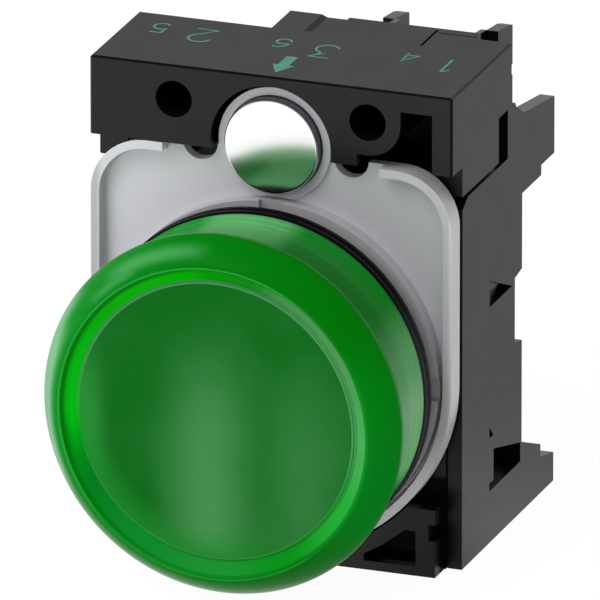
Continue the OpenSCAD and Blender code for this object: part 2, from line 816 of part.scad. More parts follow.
module holder_frame() {
    inside = half_w - wall_t;
    divider_x = half_module + 2 * fit;
    panel_x = half_w - foot_recess;
    panel_in = panel_x - foot_panel_t;
    panel_y = base_back_y + 2 * fit;
    color([0.19, 0.19, 0.2]) {
        for (side = [-1, 1]) {
            along_x(side > 0 ? inside : -half_w, side > 0 ? half_w : -inside)
                wall_outline();
            // Upper and lower guides between the bays
            for (low = [wall_top - 3.2, -holder_bottom])
                box([side > 0 ? divider_x : -divider_x - 0.8, rail_y, low],
                    [side > 0 ? divider_x + 0.8 : -divider_x, rail_back_y + 3.5, low + 3.2]);
        }
        // Foot behind the lower window, with its ledge and the panel inside it
        for (side = [0, 1])
            mirror([side, 0, 0]) {
                along_x(panel_in, inside + cut)
                    polygon([[wall_back_y, -holder_bottom],
                             [wall_back_y, foot_top],
                             [relief_y, ledge_z - 0.2],
                             [relief_y, -holder_bottom]]);
                box([panel_in, panel_y, -holder_bottom], [inside + cut, wall_back_y + fit, ledge_z]);
                box([panel_in, panel_y, ledge_z - cut], [panel_x, wall_back_y + fit, ledge_z + 3.4]);
            }
        // Rails that the modules hook on
        box([-inside - cut, rail_y, wall_top - rail_h], [inside + cut, rail_back_y, wall_top]);
        box([-inside - cut, rail_y, -holder_bottom], [inside + cut, rail_back_y, rail_h - holder_bottom]);
    }
}

// Side view of the module's body, without its rear cheeks
module body_outline(inset = 0) {
    translate([nose_y + inset, -nose_h + inset])
        square([partition_y - nose_y, 2 * (nose_h - inset)]);
    translate([shoulder_y + inset, -module_h + inset])
        square([partition_y - shoulder_y - inset + (inset > 0 ? 0 : shell_t), 2 * (module_h - inset)]);
}

// Side view of one rear cheek, without its cut-outs
module cheek_profile() {
    lower = min(cheek_top, holder_bottom - free);
    slope = 0.9;
    corner = 0.25;
    polygon([[partition_y - 0.1, -module_h],
             [partition_y + 0.5, -lower],
             [rear_y - slope, slope - lower],
             [rear_y, slope + corner - lower],
             [rear_y, cheek_top - slope - corner],
             [rear_y - slope, cheek_top - slope],
             [partition_y + 0.5, cheek_top],
             [partition_y - 0.1, module_h]]);
}

// Side view of the two terminal chambers, open above and below, made larger by some distance
module chamber_outline(grow = 0) {
    for (side = [0, 1])
        mirror([0, side])
            translate([chamber_y - grow, floor_z - grow])
                square([chamber_len + 2 * grow, holder_top - floor_z]);
}

// Side view of one rear cheek
module cheek_outline() {
    nick_h = 0.9;
    difference() {
        cheek_profile();
        // Cut-outs beside the terminal chambers and the nicks at the rear edge
        chamber_outline();
        for (side = [-1, 1])
            translate([rear_y - 0.4, side * (terminal_z + 0.75) - nick_h / 2])
                square([1, nick_h]);
    }
}

// Arm above or below the front part, with a hook for the rail
module latch_outline() {
    polygon([[shoulder_y + shell_t, arm_z],
             [nose_y, arm_z],
             [nose_y, arm_z + arm_t],
             [nose_y + 0.3, arm_z + arm_t + hook_h],
             [rail_y - 2 * fit, arm_z + arm_t + hook_h],
             [rail_y - 2 * fit, arm_z + arm_t],
             [shoulder_y + shell_t, arm_z + arm_t]]);
}

module module_housing() {
    color([0.14, 0.14, 0.15])
        difference() {
            union() {
                difference() {
                    along_x(-half_module, shell_x)
                        body_outline();
                    along_x(-shell_x, shell_x + cut)
                        body_outline(shell_t);
                }
                along_x(-half_module, -shell_x)
                    cheek_outline();
                // Thin webs at both sides of the terminal chambers
                for (side = [0, 1])
                    mirror([side, 0, 0])
                        along_x(web_x, shell_x)
                            intersection() {
                                cheek_profile();
                                chamber_outline(fit);
                            }
                // Partition, floors of the terminal chambers and the rear wall
                box([-shell_x - cut, partition_y, -module_h], [shell_x, chamber_y, module_h]);
                for (side = [-1, 1])
                    box([-shell_x - cut, chamber_y - cut, side * (floor_z - shell_t / 2) - shell_t / 2],
                        [shell_x, chamber_back_y + cut, side * (floor_z - shell_t / 2) + shell_t / 2]);
                box([-shell_x - cut, chamber_back_y, -rear_z], [shell_x, rear_y, rear_z]);
                bar_y(nose_y - snout_len, nose_y, snout_d / 2);
                for (side = [0, 1])
                    mirror([0, 0, side])
                        along_x(-2.5, 2.5)
                            latch_outline();
                // Pegs that carry the circuit board
                for (y = [shoulder_y + 3, partition_y - 4])
                    for (z = [-module_h + 3.2, module_h - 3.2])
                        translate([-shell_x - cut, y, z])
                            rotate([0, 90, 0])
                                cylinder(h = shell_x + cut + board_x - board_t, r = 1.2);
            }
            bar_y(nose_y - snout_len - cut, nose_y + shell_t + cut, snout_bore_r);
            for (side = [-1, 1]) {
                screw_z = side * terminal_z;
                slot_z = side * (tail_z + tail_w / 2);
                bar_y(partition_y - cut, chamber_y + cut, terminal_screw_d / 2 + free, z = screw_z);
                bar_y(chamber_back_y - cut, rear_y + cut, access_r, z = screw_z);
                box([board_x - fit, partition_y - cut, slot_z - tail_w / 2 - fit],
                    [board_x + strip_t + fit, chamber_y + cut, slot_z + tail_w / 2 + fit]);
            }
        }
}

module module_cover() {
    color([0.17, 0.17, 0.18])
        along_x(shell_x, half_module) {
            body_outline();
            cheek_outline();
        }
}

module circuit_board() {
    front = nose_y + shell_t + 1.5;
    back = partition_y - screw_reach - free;
    wide_front = shoulder_y + shell_t + fit;
    nose_edge = nose_h - shell_t - fit;
    wide_edge = module_h - shell_t - fit;
    tail_edge = terminal_z - terminal_screw_d / 2 - free;
    color([0.1, 0.35, 0.2])
        along_x(board_x - board_t, board_x) {
            translate([front, -nose_edge])
                square([back - front, 2 * nose_edge]);
            translate([wide_front, -wide_edge])
                square([back - wide_front, 2 * wide_edge]);
            translate([front, -tail_edge])
                square([partition_y - fit - front, 2 * tail_edge]);
        }
}

module led_emitter() {
    r = led_d / 2;
    flange_y = nose_y + shell_t;
    dome_y = nose_y - snout_len + r;
    color([0.8, 0.95, 0.8]) {
        turned()
            polygon(concat(quarter(0, dome_y, r, -r, 90, 0, 8),
                           [[r, flange_y - 0.8],
                            [r + 0.4, flange_y - 0.8],
                            [r + 0.4, flange_y],
                            [0, flange_y]]));
        for (side = [-1, 1])
            box([-lead_t / 2, flange_y - fit, side * lead_pitch / 2 - lead_t / 2],
                [lead_t / 2, flange_y + 6, side * lead_pitch / 2 + lead_t / 2]);
    }
}

// Lying on the board across its length, with a bent lead at each end
module dropper_resistor() {
    y = shoulder_y + 6.5;
    stand = resistor_d / 2 + 0.1;
    wire_r = 0.3;
    bend_r = 0.8;
    straight = 1.2;
    color([0.75, 0.68, 0.5])
        translate([board_x, y, 0]) {
            translate([stand, 0, -resistor_len / 2])
                cylinder(h = resistor_len, d = resistor_d);
            translate([stand, 0, -resistor_len / 2 - straight])
                cylinder(h = resistor_len + 2 * straight, r = wire_r);
            for (side = [0, 1])
                mirror([0, 0, side])
                    translate([stand - bend_r, 0, resistor_len / 2 + straight]) {
                        rotate([90, 0, 0])
                            rotate_extrude(angle = 90)
                                translate([bend_r, 0])
                                    circle(wire_r);
                        translate([bend_r - stand, 0, bend_r])
                            rotate([0, 90, 0])
                                cylinder(h = stand - bend_r, r = wire_r);
                    }
        }
}

// Small moulded bridge on four flat legs
module rectifier() {
    y = partition_y - 5.5 - rectifier_w;
    z = terminal_z - 2.9;
    lift = 0.15;
    leg_len = 0.8;
    leg_w = 0.6;
    leg_t = 0.4;
    color([0.1, 0.1, 0.11])
        box([board_x + lift, y, z - rectifier_len / 2],
            [board_x + rectifier_h, y + rectifier_w, z + rectifier_len / 2]);
    color([0.8, 0.8, 0.8])
        for (side = [-1, 1])
            translate([0, 0, z + side * rectifier_len / 4 - leg_w / 2])
                box([board_x, y - leg_len, 0], [board_x + leg_t, y + rectifier_w + leg_len, leg_w]);
}

module filter_capacitor() {
    color([0.2, 0.25, 0.4])
        translate([board_x + capacitor_d / 2, partition_y - 6.5, -terminal_z - 1.1])
            cylinder(h = capacitor_len, d = capacitor_d);
}

// Strip with a threaded plate behind the partition and a tail on the board
module contact_strip(side) {
    low = tail_z;
    high = terminal_z + clamp_w / 2;
    tail_reach = 3.5;
    color([0.78, 0.68, 0.4])
        mirror([0, 0, side > 0 ? 0 : 1]) {
            difference() {
                box([-strip_w / 2, chamber_y, low], [strip_w / 2, strip_back_y, high]);
                bar_y(chamber_y - cut, strip_back_y + cut, terminal_screw_d / 2 + running_clear,
                      z = terminal_z);
            }
            box([board_x, partition_y - tail_reach, low], [board_x + strip_t, chamber_y + fit, low + tail_w]);
        }
}

module contact_strip_top() {
    contact_strip(1);
}

module contact_strip_bottom() {
    contact_strip(-1);
}

module terminal_clamp(side) {
    z = side * terminal_z;
    half = clamp_w / 2;
    color([0.75, 0.75, 0.77])
        difference() {
            box([-half, clamp_y, z - half], [half, clamp_y + clamp_t, z + half]);
            bar_y(clamp_y - cut, clamp_y + clamp_t + cut, terminal_screw_d / 2 + running_clear, z = z);
            // Grooves that grip the wire
            for (x = [-half + 1, half - 1])
                box([x - 0.15, clamp_y - cut, z - half - cut], [x + 0.15, clamp_y + 0.2, z + half + cut]);
        }
}

module terminal_clamp_top() {
    terminal_clamp(1);
}

module terminal_clamp_bottom() {
    terminal_clamp(-1);
}

module terminal_screw(side) {
    z = side * terminal_z;
    head_end = head_y + terminal_head_h;
    slot_w = terminal_head_h * 0.4;
    reach = terminal_head_d * 0.36;
    color([0.8, 0.8, 0.82])
        difference() {
            union() {
                bar_y(partition_y - screw_reach, head_y + cut, terminal_screw_d / 2, z = z);
                bar_y(head_y, head_end, terminal_head_d / 2, z = z);
            }
            box([-reach, head_end - slot_w, z - slot_w / 2], [reach, head_end + cut, z + slot_w / 2]);
            box([-slot_w / 2, head_end - slot_w, z - reach], [slot_w / 2, head_end + cut, z + reach]);
        }
}

module terminal_screw_top() {
    terminal_screw(1);
}

module terminal_screw_bottom() {
    terminal_screw(-1);
}

lens_cap();
lens_diffuser();
lens_seal();
panel_seal();
actuator_barrel();
support_ring();
clamp_plate();
clamp_foot();
clamp_screw();
holder_body();
holder_frame();
module_housing();
module_cover();
circuit_board();
led_emitter();
dropper_resistor();
rectifier();
filter_capacitor();
contact_strip_top();
contact_strip_bottom();
terminal_clamp_top();
terminal_clamp_bottom();
terminal_screw_top();
terminal_screw_bottom();
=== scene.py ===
import math
import bpy
from mathutils import Matrix, Vector


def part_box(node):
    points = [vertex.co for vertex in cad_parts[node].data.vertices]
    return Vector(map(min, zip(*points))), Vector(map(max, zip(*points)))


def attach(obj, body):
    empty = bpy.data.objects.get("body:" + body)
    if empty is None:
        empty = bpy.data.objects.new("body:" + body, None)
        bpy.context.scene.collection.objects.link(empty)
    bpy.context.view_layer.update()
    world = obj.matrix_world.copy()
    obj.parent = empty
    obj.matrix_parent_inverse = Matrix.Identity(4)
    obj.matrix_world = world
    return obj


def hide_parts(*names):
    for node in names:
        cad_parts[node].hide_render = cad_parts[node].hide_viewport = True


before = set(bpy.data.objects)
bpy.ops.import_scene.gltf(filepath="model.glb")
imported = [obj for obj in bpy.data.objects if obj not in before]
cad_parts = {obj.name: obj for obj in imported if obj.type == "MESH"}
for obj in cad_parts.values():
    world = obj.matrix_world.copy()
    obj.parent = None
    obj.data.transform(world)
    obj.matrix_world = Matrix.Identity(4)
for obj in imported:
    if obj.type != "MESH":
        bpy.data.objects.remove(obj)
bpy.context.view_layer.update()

MM = 0.001

# View of the photograph: seen from the right and from above, through a very long lens
VIEW_AZIMUTH = 20.0
VIEW_ELEVATION = 20.0
VIEW_WIDTH = 46.66 * MM
VIEW_CENTRE = Vector((1.521, 4.104, 5.035)) * MM
LENS_MM = 1600.0
SENSOR_MM = 36.0

# Brightness of the world: as light on surfaces, and in reflections at the horizon, above it and overhead
WORLD_LIGHT = 0.5
HORIZON_REFLECTED = 0.8
SKY_REFLECTED = 0.53
OVERHEAD_REFLECTED = 0.08
# Sines of the elevations between which the reflected world changes
SKY_BAND = (0.05, 0.27)
OVERHEAD_BAND = (0.3, 0.75)

# The dark flag at the right: its place, its brightness, and the cosines between which it takes over
FLAG_AZIMUTH = 72
FLAG_REFLECTED = 0.08
FLAG_BAND = (0.35, 0.85)

# The floor: half its size in metres, its paint, how far it glows instead where it is seen directly, and the
# glow that the camera sees
FLOOR_HALF = 3.0
FLOOR_PAINT = 0.92
FLOOR_GLOWING = 0.9
FLOOR_SHOWN = 1.06
# Brightness of the floor in reflections, in front of the object and behind it
FLOOR_FRONT = 1.08
FLOOR_BEHIND = 0.52
# Depths in metres between which that changes: under the object, and far behind, where it meets the horizon
FLOOR_NEAR_BAND = (-0.02, 0.05)
FLOOR_FAR_BAND = (0.16, 0.4)

# Places shared with the CAD model, in millimetres
FRONT_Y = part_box("holder_body")[0].y / MM
HOLDER_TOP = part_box("holder_body")[1].z / MM
FLOOR_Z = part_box("holder_body")[0].z / MM

# The lens, in millimetres: places along Y, radii, and the sizes of its steps
LENS_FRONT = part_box("lens_cap")[0].y / MM
LENS_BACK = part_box("lens_cap")[1].y / MM
LENS_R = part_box("lens_cap")[1].x / MM
CREST_R = 12.83
FACE_R = 11.4
COLLAR_R = 13.5
GROOVE_Y = LENS_FRONT + 0.93
FACE_Y = GROOVE_Y - 0.15
FACE_DOME = 0.3
FACE_CHAMFER = 0.15
GROOVE_FLOOR = 0.15
CREST_WIDTH = 0.25
CREST_DROP = 0.1
WIDEST_Y = LENS_FRONT + 2.5
TUCK_LEN = 1.6
RING_STEP = 0.12
RING_LEN = 0.7
LENS_WALL = 1.3
# How lean the shoulder is, where 1 is an ellipse, and the number of steps in each stretch and all round
SHOULDER_POWER = 1.5
LENS_DOME_STEPS = 30
SHOULDER_STEPS = 28
TUCK_STEPS = 14
LENS_SEGMENTS = 256
# Degrees that are left out where the shoulder starts at the crest and where the tuck starts at the shoulder
CREST_GAP = 2
TUCK_GAP = 4
# Where the lens's materials change: inside the dome's edge, in millimetres, and along the tuck, as a share
FACE_ZONE_INSET = 0.02
COLLAR_ZONE_START = 0.6

# The clamp foot, in millimetres
FOOT_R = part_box("clamp_foot")[1].x / MM
FOOT_Z = (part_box("clamp_foot")[0].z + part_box("clamp_foot")[1].z) / 2 / MM
FOOT_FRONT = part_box("clamp_foot")[0].y / MM
FOOT_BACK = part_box("clamp_foot")[1].y / MM
FOOT_DOME = 0.05
FOOT_BEVEL = 0.14
FOOT_BORE_R = 1.05
FOOT_BORE_END = FOOT_FRONT + 0.35
FOOT_DOME_STEPS = 16
FOOT_SEGMENTS = 128
# Distances below its axis between which painted shade darkens the foot's face
FOOT_SHADE_BAND = (0.8, 2.1)

# Hollows of the holder where painted shade takes the shine away, in millimetres: half their reach across,
# where they start and end behind the front, the skin above them, and the height below which the hollow of the
# bracket begins
HOLLOW_HALF = 14.4
HOLLOW_START = 0.9
HOLLOW_END = 8.0
HOLLOW_SKIN = 0.5
BRACKET_TOP = -8.0
# How quickly painted shade takes the shine away in the block's hollows, and what is left of it
HOLLOW_GAIN = 6.0
HOLLOW_SHADE_SPECULAR = 0.02

# The clamp plate, in millimetres: stretches across it and down it over which painted light changes its
# colour, painted shade to the right and a painted highlight low down, and the place of each edge with its
# reach to both sides, with a painted highlight on the right edge and painted shade on the left edge
PLATE_SHADE_ACROSS = (-13, 11)
PLATE_HIGHLIGHT_DOWN = (-3.5, -8.5)
PLATE_RIGHT_EDGE_HIGHLIGHT = (15.0, 0.5)
PLATE_LEFT_EDGE_SHADE = (-14.6, 0.8)

# Painted highlight on the panel seal: the angle that it faces, the angles from there at which it starts and
# is full, and its strength
SEAL_HIGHLIGHT_ANGLES = (100, 50, 15)
SEAL_HIGHLIGHT_STRENGTH = 0.6

# The electronic parts: the LED's flange and half the resistor's body in metres, the rest in millimetres
LED_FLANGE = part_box("led_emitter")[1].y - 6 * MM
RESISTOR_HALF = 4.52 * MM
RESISTOR_BAND_HALF = 0.4
CAPACITOR_Y = (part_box("filter_capacitor")[0].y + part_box("filter_capacitor")[1].y) / 2 / MM
BOARD_TRACKS = (-9, -5.5, -2, 2, 5.5, 9)

# The black mouldings: the tint of their shine, how far their gloss varies, and the depth of their grain
COOL_SHINE = (0.955, 0.975, 1.0, 1.0)
GLOSS_VARIATION = 0.015
MOULD_DEPTH = 0.0006
# The metals: how far their roughness varies, and the depth of their grain
METAL_VARIATION = 0.03
METAL_DEPTH = 0.0008

# Range of a noise's values that is spread over a change of colour or gloss
NOISE_MIDDLE = (0.35, 0.65)
# Where a colour mix keeps its factor, its two colours and its result
MIX_FACTOR = 0
MIX_COLOURS = (6, 7)
MIX_RESULT = 2

# Painted highlight bands, upright, on the lens's face: place across and reach to both sides in millimetres,
# and strength
FACE_HIGHLIGHT_BANDS = [(-0.6, 5.4, 0.92), (7.6, 6.0, 0.42), (-11.6, 4.2, 0.35)]
# Its painted highlight along the left edge: place across and reach to both sides in millimetres, and strength
FACE_EDGE = (-10.9, 2.2)
FACE_EDGE_STRENGTH = 0.8
# Heights in millimetres between which the painted bands and edge highlight appear, from the top down
FACE_FADE = (9.6, -3.0)
# Painted glow round the lower left of the face: the radius about which it rises and the width of that rise in
# millimetres, the angle that it faces, the angles from there at which it starts and is full, and its strength
FACE_RIM = (10.1, 2.2)
FACE_RIM_ANGLES = (212, 75, 25)
FACE_RIM_STRENGTH = 0.8

# Colours of the lens by the angle about its axis, in degrees clockwise from the top: its green with painted
# glow, painted highlights and painted reflections
GROOVE_GREEN_AND_GLOW = [
    (0, (0, 172, 4)), (14, (24, 152, 30)), (30, (84, 160, 96)), (60, (84, 160, 94)), (90, (74, 172, 90)),
    (120, (34, 170, 52)), (150, (4, 144, 22)), (180, (26, 146, 50)), (210, (16, 144, 46)),
    (238, (4, 138, 34)), (256, (0, 158, 22)), (270, (0, 194, 10)), (300, (0, 192, 0)), (330, (0, 200, 0)),
    (348, (0, 198, 0)), (360, (0, 172, 4))]
SHOULDER_GREEN_AND_LIGHT = [
    (0, (2, 122, 12)), (45, (0, 122, 6)), (80, (0, 138, 22)), (110, (0, 136, 30)), (150, (0, 114, 14)),
    (200, (6, 134, 32)), (240, (8, 136, 34)), (270, (8, 138, 36)), (310, (6, 132, 32)), (360, (2, 122, 12))]
COLLAR_GREEN_AND_REFLECTIONS = [
    (0, (98, 182, 112)), (10, (92, 176, 104)), (19, (22, 134, 40)), (52, (16, 132, 34)),
    (75, (104, 176, 114)), (90, (138, 200, 146)), (102, (132, 200, 140)), (111, (122, 202, 134)),
    (124, (6, 134, 32)), (320, (16, 138, 40)), (340, (30, 144, 52)), (349, (92, 178, 104)),
    (360, (98, 182, 112))]

# Soft rings of painted highlight and painted shade on the lens: coordinate, which is the radius or Y, its
# place and reach to both sides in millimetres, the angle that the ring faces, the angles from there at which
# it starts and is full, its strength and its colour
GROOVE_LIGHT_AND_SHADE = [
    ("r", 12.5, 0.34, 280, 84, 40, 1.3, (0, 132, 6)),
    ("r", 12.55, 0.14, 350, 50, 20, 0.8, (2, 128, 12)),
    ("r", 11.8, 0.5, 280, 32, 12, 0.8, (0, 212, 28)),
    ("r", 11.34, 0.26, 338, 80, 40, 1.3, (72, 148, 88)),
    ("r", 11.36, 0.1, 20, 120, 80, 0.7, (92, 160, 104)),
    ("r", 11.62, 0.1, 60, 70, 45, 0.6, (20, 92, 32)),
    ("r", 12.52, 0.12, 200, 80, 50, 0.6, (4, 112, 18)),
    ("r", 11.33, 0.14, 190, 80, 40, 0.9, (78, 160, 90))]
SHOULDER_LIGHT_AND_SHADE = [
    ("r", 13.3, 0.45, 321, 12, 2, 0.35, (84, 170, 100)),
    ("r", 13.85, 0.7, 338, 22, 3, 0.6, (86, 172, 102)),
    ("r", 14.2, 1.2, 268, 34, 8, 1.7, (120, 184, 134)),
    ("r", 14.7, 0.95, 286, 26, 4, 1.3, (120, 184, 134)),
    ("r", 14.35, 0.55, 215, 70, 40, 0.7, (70, 148, 88)),
    ("r", 12.7, 0.13, 315, 96, 66, 0.95, (30, 186, 62)),
    ("r", 12.96, 0.08, 2, 50, 20, 0.7, (2, 112, 22)),
    ("r", 12.78, 0.12, 200, 70, 45, 0.6, (30, 158, 54)),
    ("r", 13.0, 0.12, 200, 70, 45, 0.7, (2, 112, 18))]
COLLAR_SHADE_RINGS = [("y", WIDEST_Y + TUCK_LEN, 0.3, 40, 120, 60, 0.5, (4, 110, 20))]

# Material of each CAD node that is kept
MATERIAL_OF_NODE = {
    "holder_body": "holder_black", "holder_frame": "frame_black", "module_housing": "module_black",
    "module_cover": "module_black", "actuator_barrel": "barrel_black", "panel_seal": "panel_seal",
    "lens_seal": "seal_black", "clamp_plate": "plate_grey", "support_ring": "ring_grey",
    "clamp_screw": "screw_steel", "lens_diffuser": "diffuser_white",
    "contact_strip_top": "contact_brass", "contact_strip_bottom": "contact_brass",
    "terminal_clamp_top": "clamp_steel", "terminal_clamp_bottom": "clamp_steel",
    "terminal_screw_top": "screw_steel", "terminal_screw_bottom": "screw_steel",
    "circuit_board": "board_green", "led_emitter": "led_clear", "dropper_resistor": "resistor_tan",
    "rectifier": "part_black", "filter_capacitor": "capacitor_blue",
}


# Numbers and colours

def linear(red, green, blue):
    """Linear colour of a display colour whose channels run from 0 to 255."""
    def channel(value):
        share = value / 255
        return share / 12.92 if share < 0.04045 else ((share + 0.055) / 1.055) ** 2.4
    return (channel(red), channel(green), channel(blue), 1.0)


def direction(azimuth, elevation):
    """Unit vector from the object towards a place that is seen at these angles, in degrees."""
    turn = math.radians(azimuth)
    lift = math.radians(elevation)
    return Vector((math.sin(turn) * math.cos(lift), -math.cos(turn) * math.cos(lift), math.sin(lift)))


# Shader nodes

def feed(tree, socket, value):
    """Gives a socket its value, or the link from another socket."""
    if isinstance(value, bpy.types.NodeSocket):
        tree.links.new(value, socket)
    else:
        socket.default_value = value


def add(tree, kind, attributes=None, **inputs):
    """New node, with its attributes and what its sockets are fed."""
    made = tree.nodes.new(kind)
    for key, value in (attributes or {}).items():
        setattr(made, key, value)
    for key, value in inputs.items():
        feed(tree, made.inputs[key.replace("_", " ")], value)
    return made


def combine(tree, operation, *values):
    """Chain of one kind of arithmetic over sockets and numbers."""
    total = values[0]
    for value in values[1:]:
        step = add(tree, "ShaderNodeMath", {"operation": operation})
        feed(tree, step.inputs[0], total)
        feed(tree, step.inputs[1], value)
        total = step.outputs[0]
    return total


def single(tree, operation, value):
    """Arithmetic on one socket, such as its square root."""
    made = add(tree, "ShaderNodeMath", {"operation": operation})
    tree.links.new(value, made.inputs[0])
    return made.outputs[0]


def remap(tree, value, source, low=0.0, high=1.0, smooth=False):
    """Maps a value in the source range onto the range from low to high, and holds it there."""
    kind = {"interpolation_type": "SMOOTHSTEP" if smooth else "LINEAR"}
    made = add(tree, "ShaderNodeMapRange", kind, Value=value, From_Min=source[0], From_Max=source[1],
               To_Min=low, To_Max=high)
    return made.outputs[0]


def rise(tree, coordinate, start, width=0.4):
    """Rises from 0 to 1 about a coordinate, in millimetres."""
    return remap(tree, coordinate, ((start - width / 2) * MM, (start + width / 2) * MM))


def fall(tree, coordinate, end, width=0.4):
    """Falls from 1 to 0 about a coordinate, in millimetres."""
    return rise(tree, coordinate, end, -width)


def ridge(tree, coordinate, centre, reach):
    """Soft hump of height 1 about a coordinate, with its reach to both sides in millimetres."""
    distance = single(tree, "ABSOLUTE", combine(tree, "SUBTRACT", coordinate, centre * MM))
    return remap(tree, distance, (0, reach * MM), 1.0, 0.0, smooth=True)


def alignment(tree, vector, aim):
    """Cosine of the angle between a vector and a fixed unit vector."""
    unit = add(tree, "ShaderNodeVectorMath", {"operation": "NORMALIZE"})
    tree.links.new(vector, unit.inputs[0])
    product = add(tree, "ShaderNodeVectorMath", {"operation": "DOT_PRODUCT"})
    tree.links.new(unit.outputs[0], product.inputs[0])
    product.inputs[1].default_value = aim
    return product.outputs["Value"]


def object_place(tree):
    """Sockets of X, Y and Z in the object's own frame, in metres."""
    place = add(tree, "ShaderNodeTexCoord")
    return add(tree, "ShaderNodeSeparateXYZ", Vector=place.outputs["Object"]).outputs


def lens_radius(tree):
    """Distance from the lens axis, in metres."""
    parts = object_place(tree)
    squares = [combine(tree, "MULTIPLY", parts[name], parts[name]) for name in "XZ"]
    return single(tree, "SQRT", combine(tree, "ADD", *squares))


def towards(tree, angle, start, end):
    """Rises from 0 to 1 as the direction from the lens axis nears this angle, clockwise from the top."""
    parts = object_place(tree)
    flat = add(tree, "ShaderNodeCombineXYZ", X=parts["X"], Z=parts["Z"])
    aim = (math.sin(math.radians(angle)), 0, math.cos(math.radians(angle)))
    cosines = (math.cos(math.radians(start)), math.cos(math.radians(end)))
    return remap(tree, alignment(tree, flat.outputs[0], aim), cosines, smooth=True)


def palette(tree, stops):
    """Colour by the angle about the lens axis: stops are pairs of degrees and display colour."""
    parts = object_place(tree)
    angle = combine(tree, "ARCTAN2", parts["X"], parts["Z"])
    turns = combine(tree, "ADD", combine(tree, "DIVIDE", angle, 2 * math.pi), 1.0)
    ramp = add(tree, "ShaderNodeValToRGB", Fac=single(tree, "FRACT", turns))
    ramp.color_ramp.interpolation = "EASE"
    elements = ramp.color_ramp.elements
    for degrees, colour in stops[1:-1]:
        elements.new(degrees / 360).color = linear(*colour)
    for index in (0, -1):
        degrees, colour = stops[index]
        elements[index].position = degrees / 360
        elements[index].color = linear(*colour)
    return ramp.outputs["Color"]


def noise(tree, size, detail=2.0, stretch=(1, 1, 1)):
    """Noise whose spots are about this size in millimetres, stretched along the axes."""
    place = add(tree, "ShaderNodeTexCoord")
    scale = add(tree, "ShaderNodeMapping", Vector=place.outputs["Object"],
                Scale=[1 / (size * MM * share) for share in stretch])
    return add(tree, "ShaderNodeTexNoise", Vector=scale.outputs[0], Scale=1.0, Detail=detail).outputs["Fac"]


def spread(tree, value, low, high):
    """Maps the middle of a noise's range onto the range from low to high."""
    return remap(tree, value, NOISE_MIDDLE, low, high)


def blend_colours(tree, factor, first, second):
    """Colour between two, each a display colour or a socket."""
    mix = add(tree, "ShaderNodeMix", {"data_type": "RGBA"})
    tree.links.new(factor, mix.inputs[MIX_FACTOR])
    for index, colour in zip(MIX_COLOURS, (first, second)):
        feed(tree, mix.inputs[index], linear(*colour) if isinstance(colour, tuple) else colour)
    return mix.outputs[MIX_RESULT]


def add_bump(tree, shader, *heights):
    """Chain of bumps, each a height socket and its depth in millimetres."""
    last = None
    for height, depth in heights:
        bump = add(tree, "ShaderNodeBump", Height=height, Strength=1.0, Distance=depth * MM)
        if last:
            tree.links.new(last, bump.inputs["Normal"])
        last = bump.outputs[0]
    tree.links.new(last, shader.inputs["Normal"])


# Camera, world, floor and lamps

def make_camera():
    """Camera at the photograph's viewing angle."""
    back = direction(VIEW_AZIMUTH, VIEW_ELEVATION)
    right = Vector((math.cos(math.radians(VIEW_AZIMUTH)), math.sin(math.radians(VIEW_AZIMUTH)), 0))
    up = back.cross(right)
    distance = VIEW_WIDTH * LENS_MM / SENSOR_MM
    data = bpy.data.cameras.new("camera")
    data.lens = LENS_MM
    data.sensor_width = SENSOR_MM
    data.clip_start = distance / 10
    data.clip_end = distance * 3
    camera = bpy.data.objects.new("camera", data)
    camera.matrix_world = Matrix((right, up, back)).transposed().to_4x4()
    camera.location = VIEW_CENTRE + back * distance
    bpy.context.scene.collection.objects.link(camera)
    bpy.context.scene.camera = camera


def seen_directly(tree):
    """Socket that is 1 for camera, glossy and transmission rays, and 0 for light that falls on surfaces."""
    path = add(tree, "ShaderNodeLightPath")
    rays = ("Is Camera Ray", "Is Glossy Ray", "Is Transmission Ray")
    return combine(tree, "MAXIMUM", *[path.outputs[name] for name in rays])


def shown_or_reflected(tree, shown, reflected):
    """Brightness that is one value for the camera and another for all other rays."""
    path = add(tree, "ShaderNodeLightPath")
    return remap(tree, path.outputs["Is Camera Ray"], (0, 1), reflected, shown)


def beside_flag(tree, place, level):
    """Brightness in reflections, reduced where the place lies towards the dark flag."""
    nearness = alignment(tree, place, direction(FLAG_AZIMUTH, 0))
    return remap(tree, nearness, FLAG_BAND, level, FLAG_REFLECTED, smooth=True)


def make_world():
    """White studio. What shines reflects less light from overhead and from the dark flag."""
    world = bpy.data.worlds.new("studio")
    world.use_nodes = True
    bpy.context.scene.world = world
    tree = world.node_tree
    place = add(tree, "ShaderNodeTexCoord").outputs["Generated"]
    height = add(tree, "ShaderNodeSeparateXYZ", Vector=place).outputs["Z"]
    level = remap(tree, height, SKY_BAND, HORIZON_REFLECTED, SKY_REFLECTED, smooth=True)
    level = remap(tree, height, OVERHEAD_BAND, level, OVERHEAD_REFLECTED, smooth=True)
    seen = shown_or_reflected(tree, 1.0, beside_flag(tree, place, level))
    background = tree.nodes["Background"]
    background.inputs["Color"].default_value = (1, 1, 1, 1)
    tree.links.new(remap(tree, seen_directly(tree), (0, 1), WORLD_LIGHT, seen), background.inputs["Strength"])


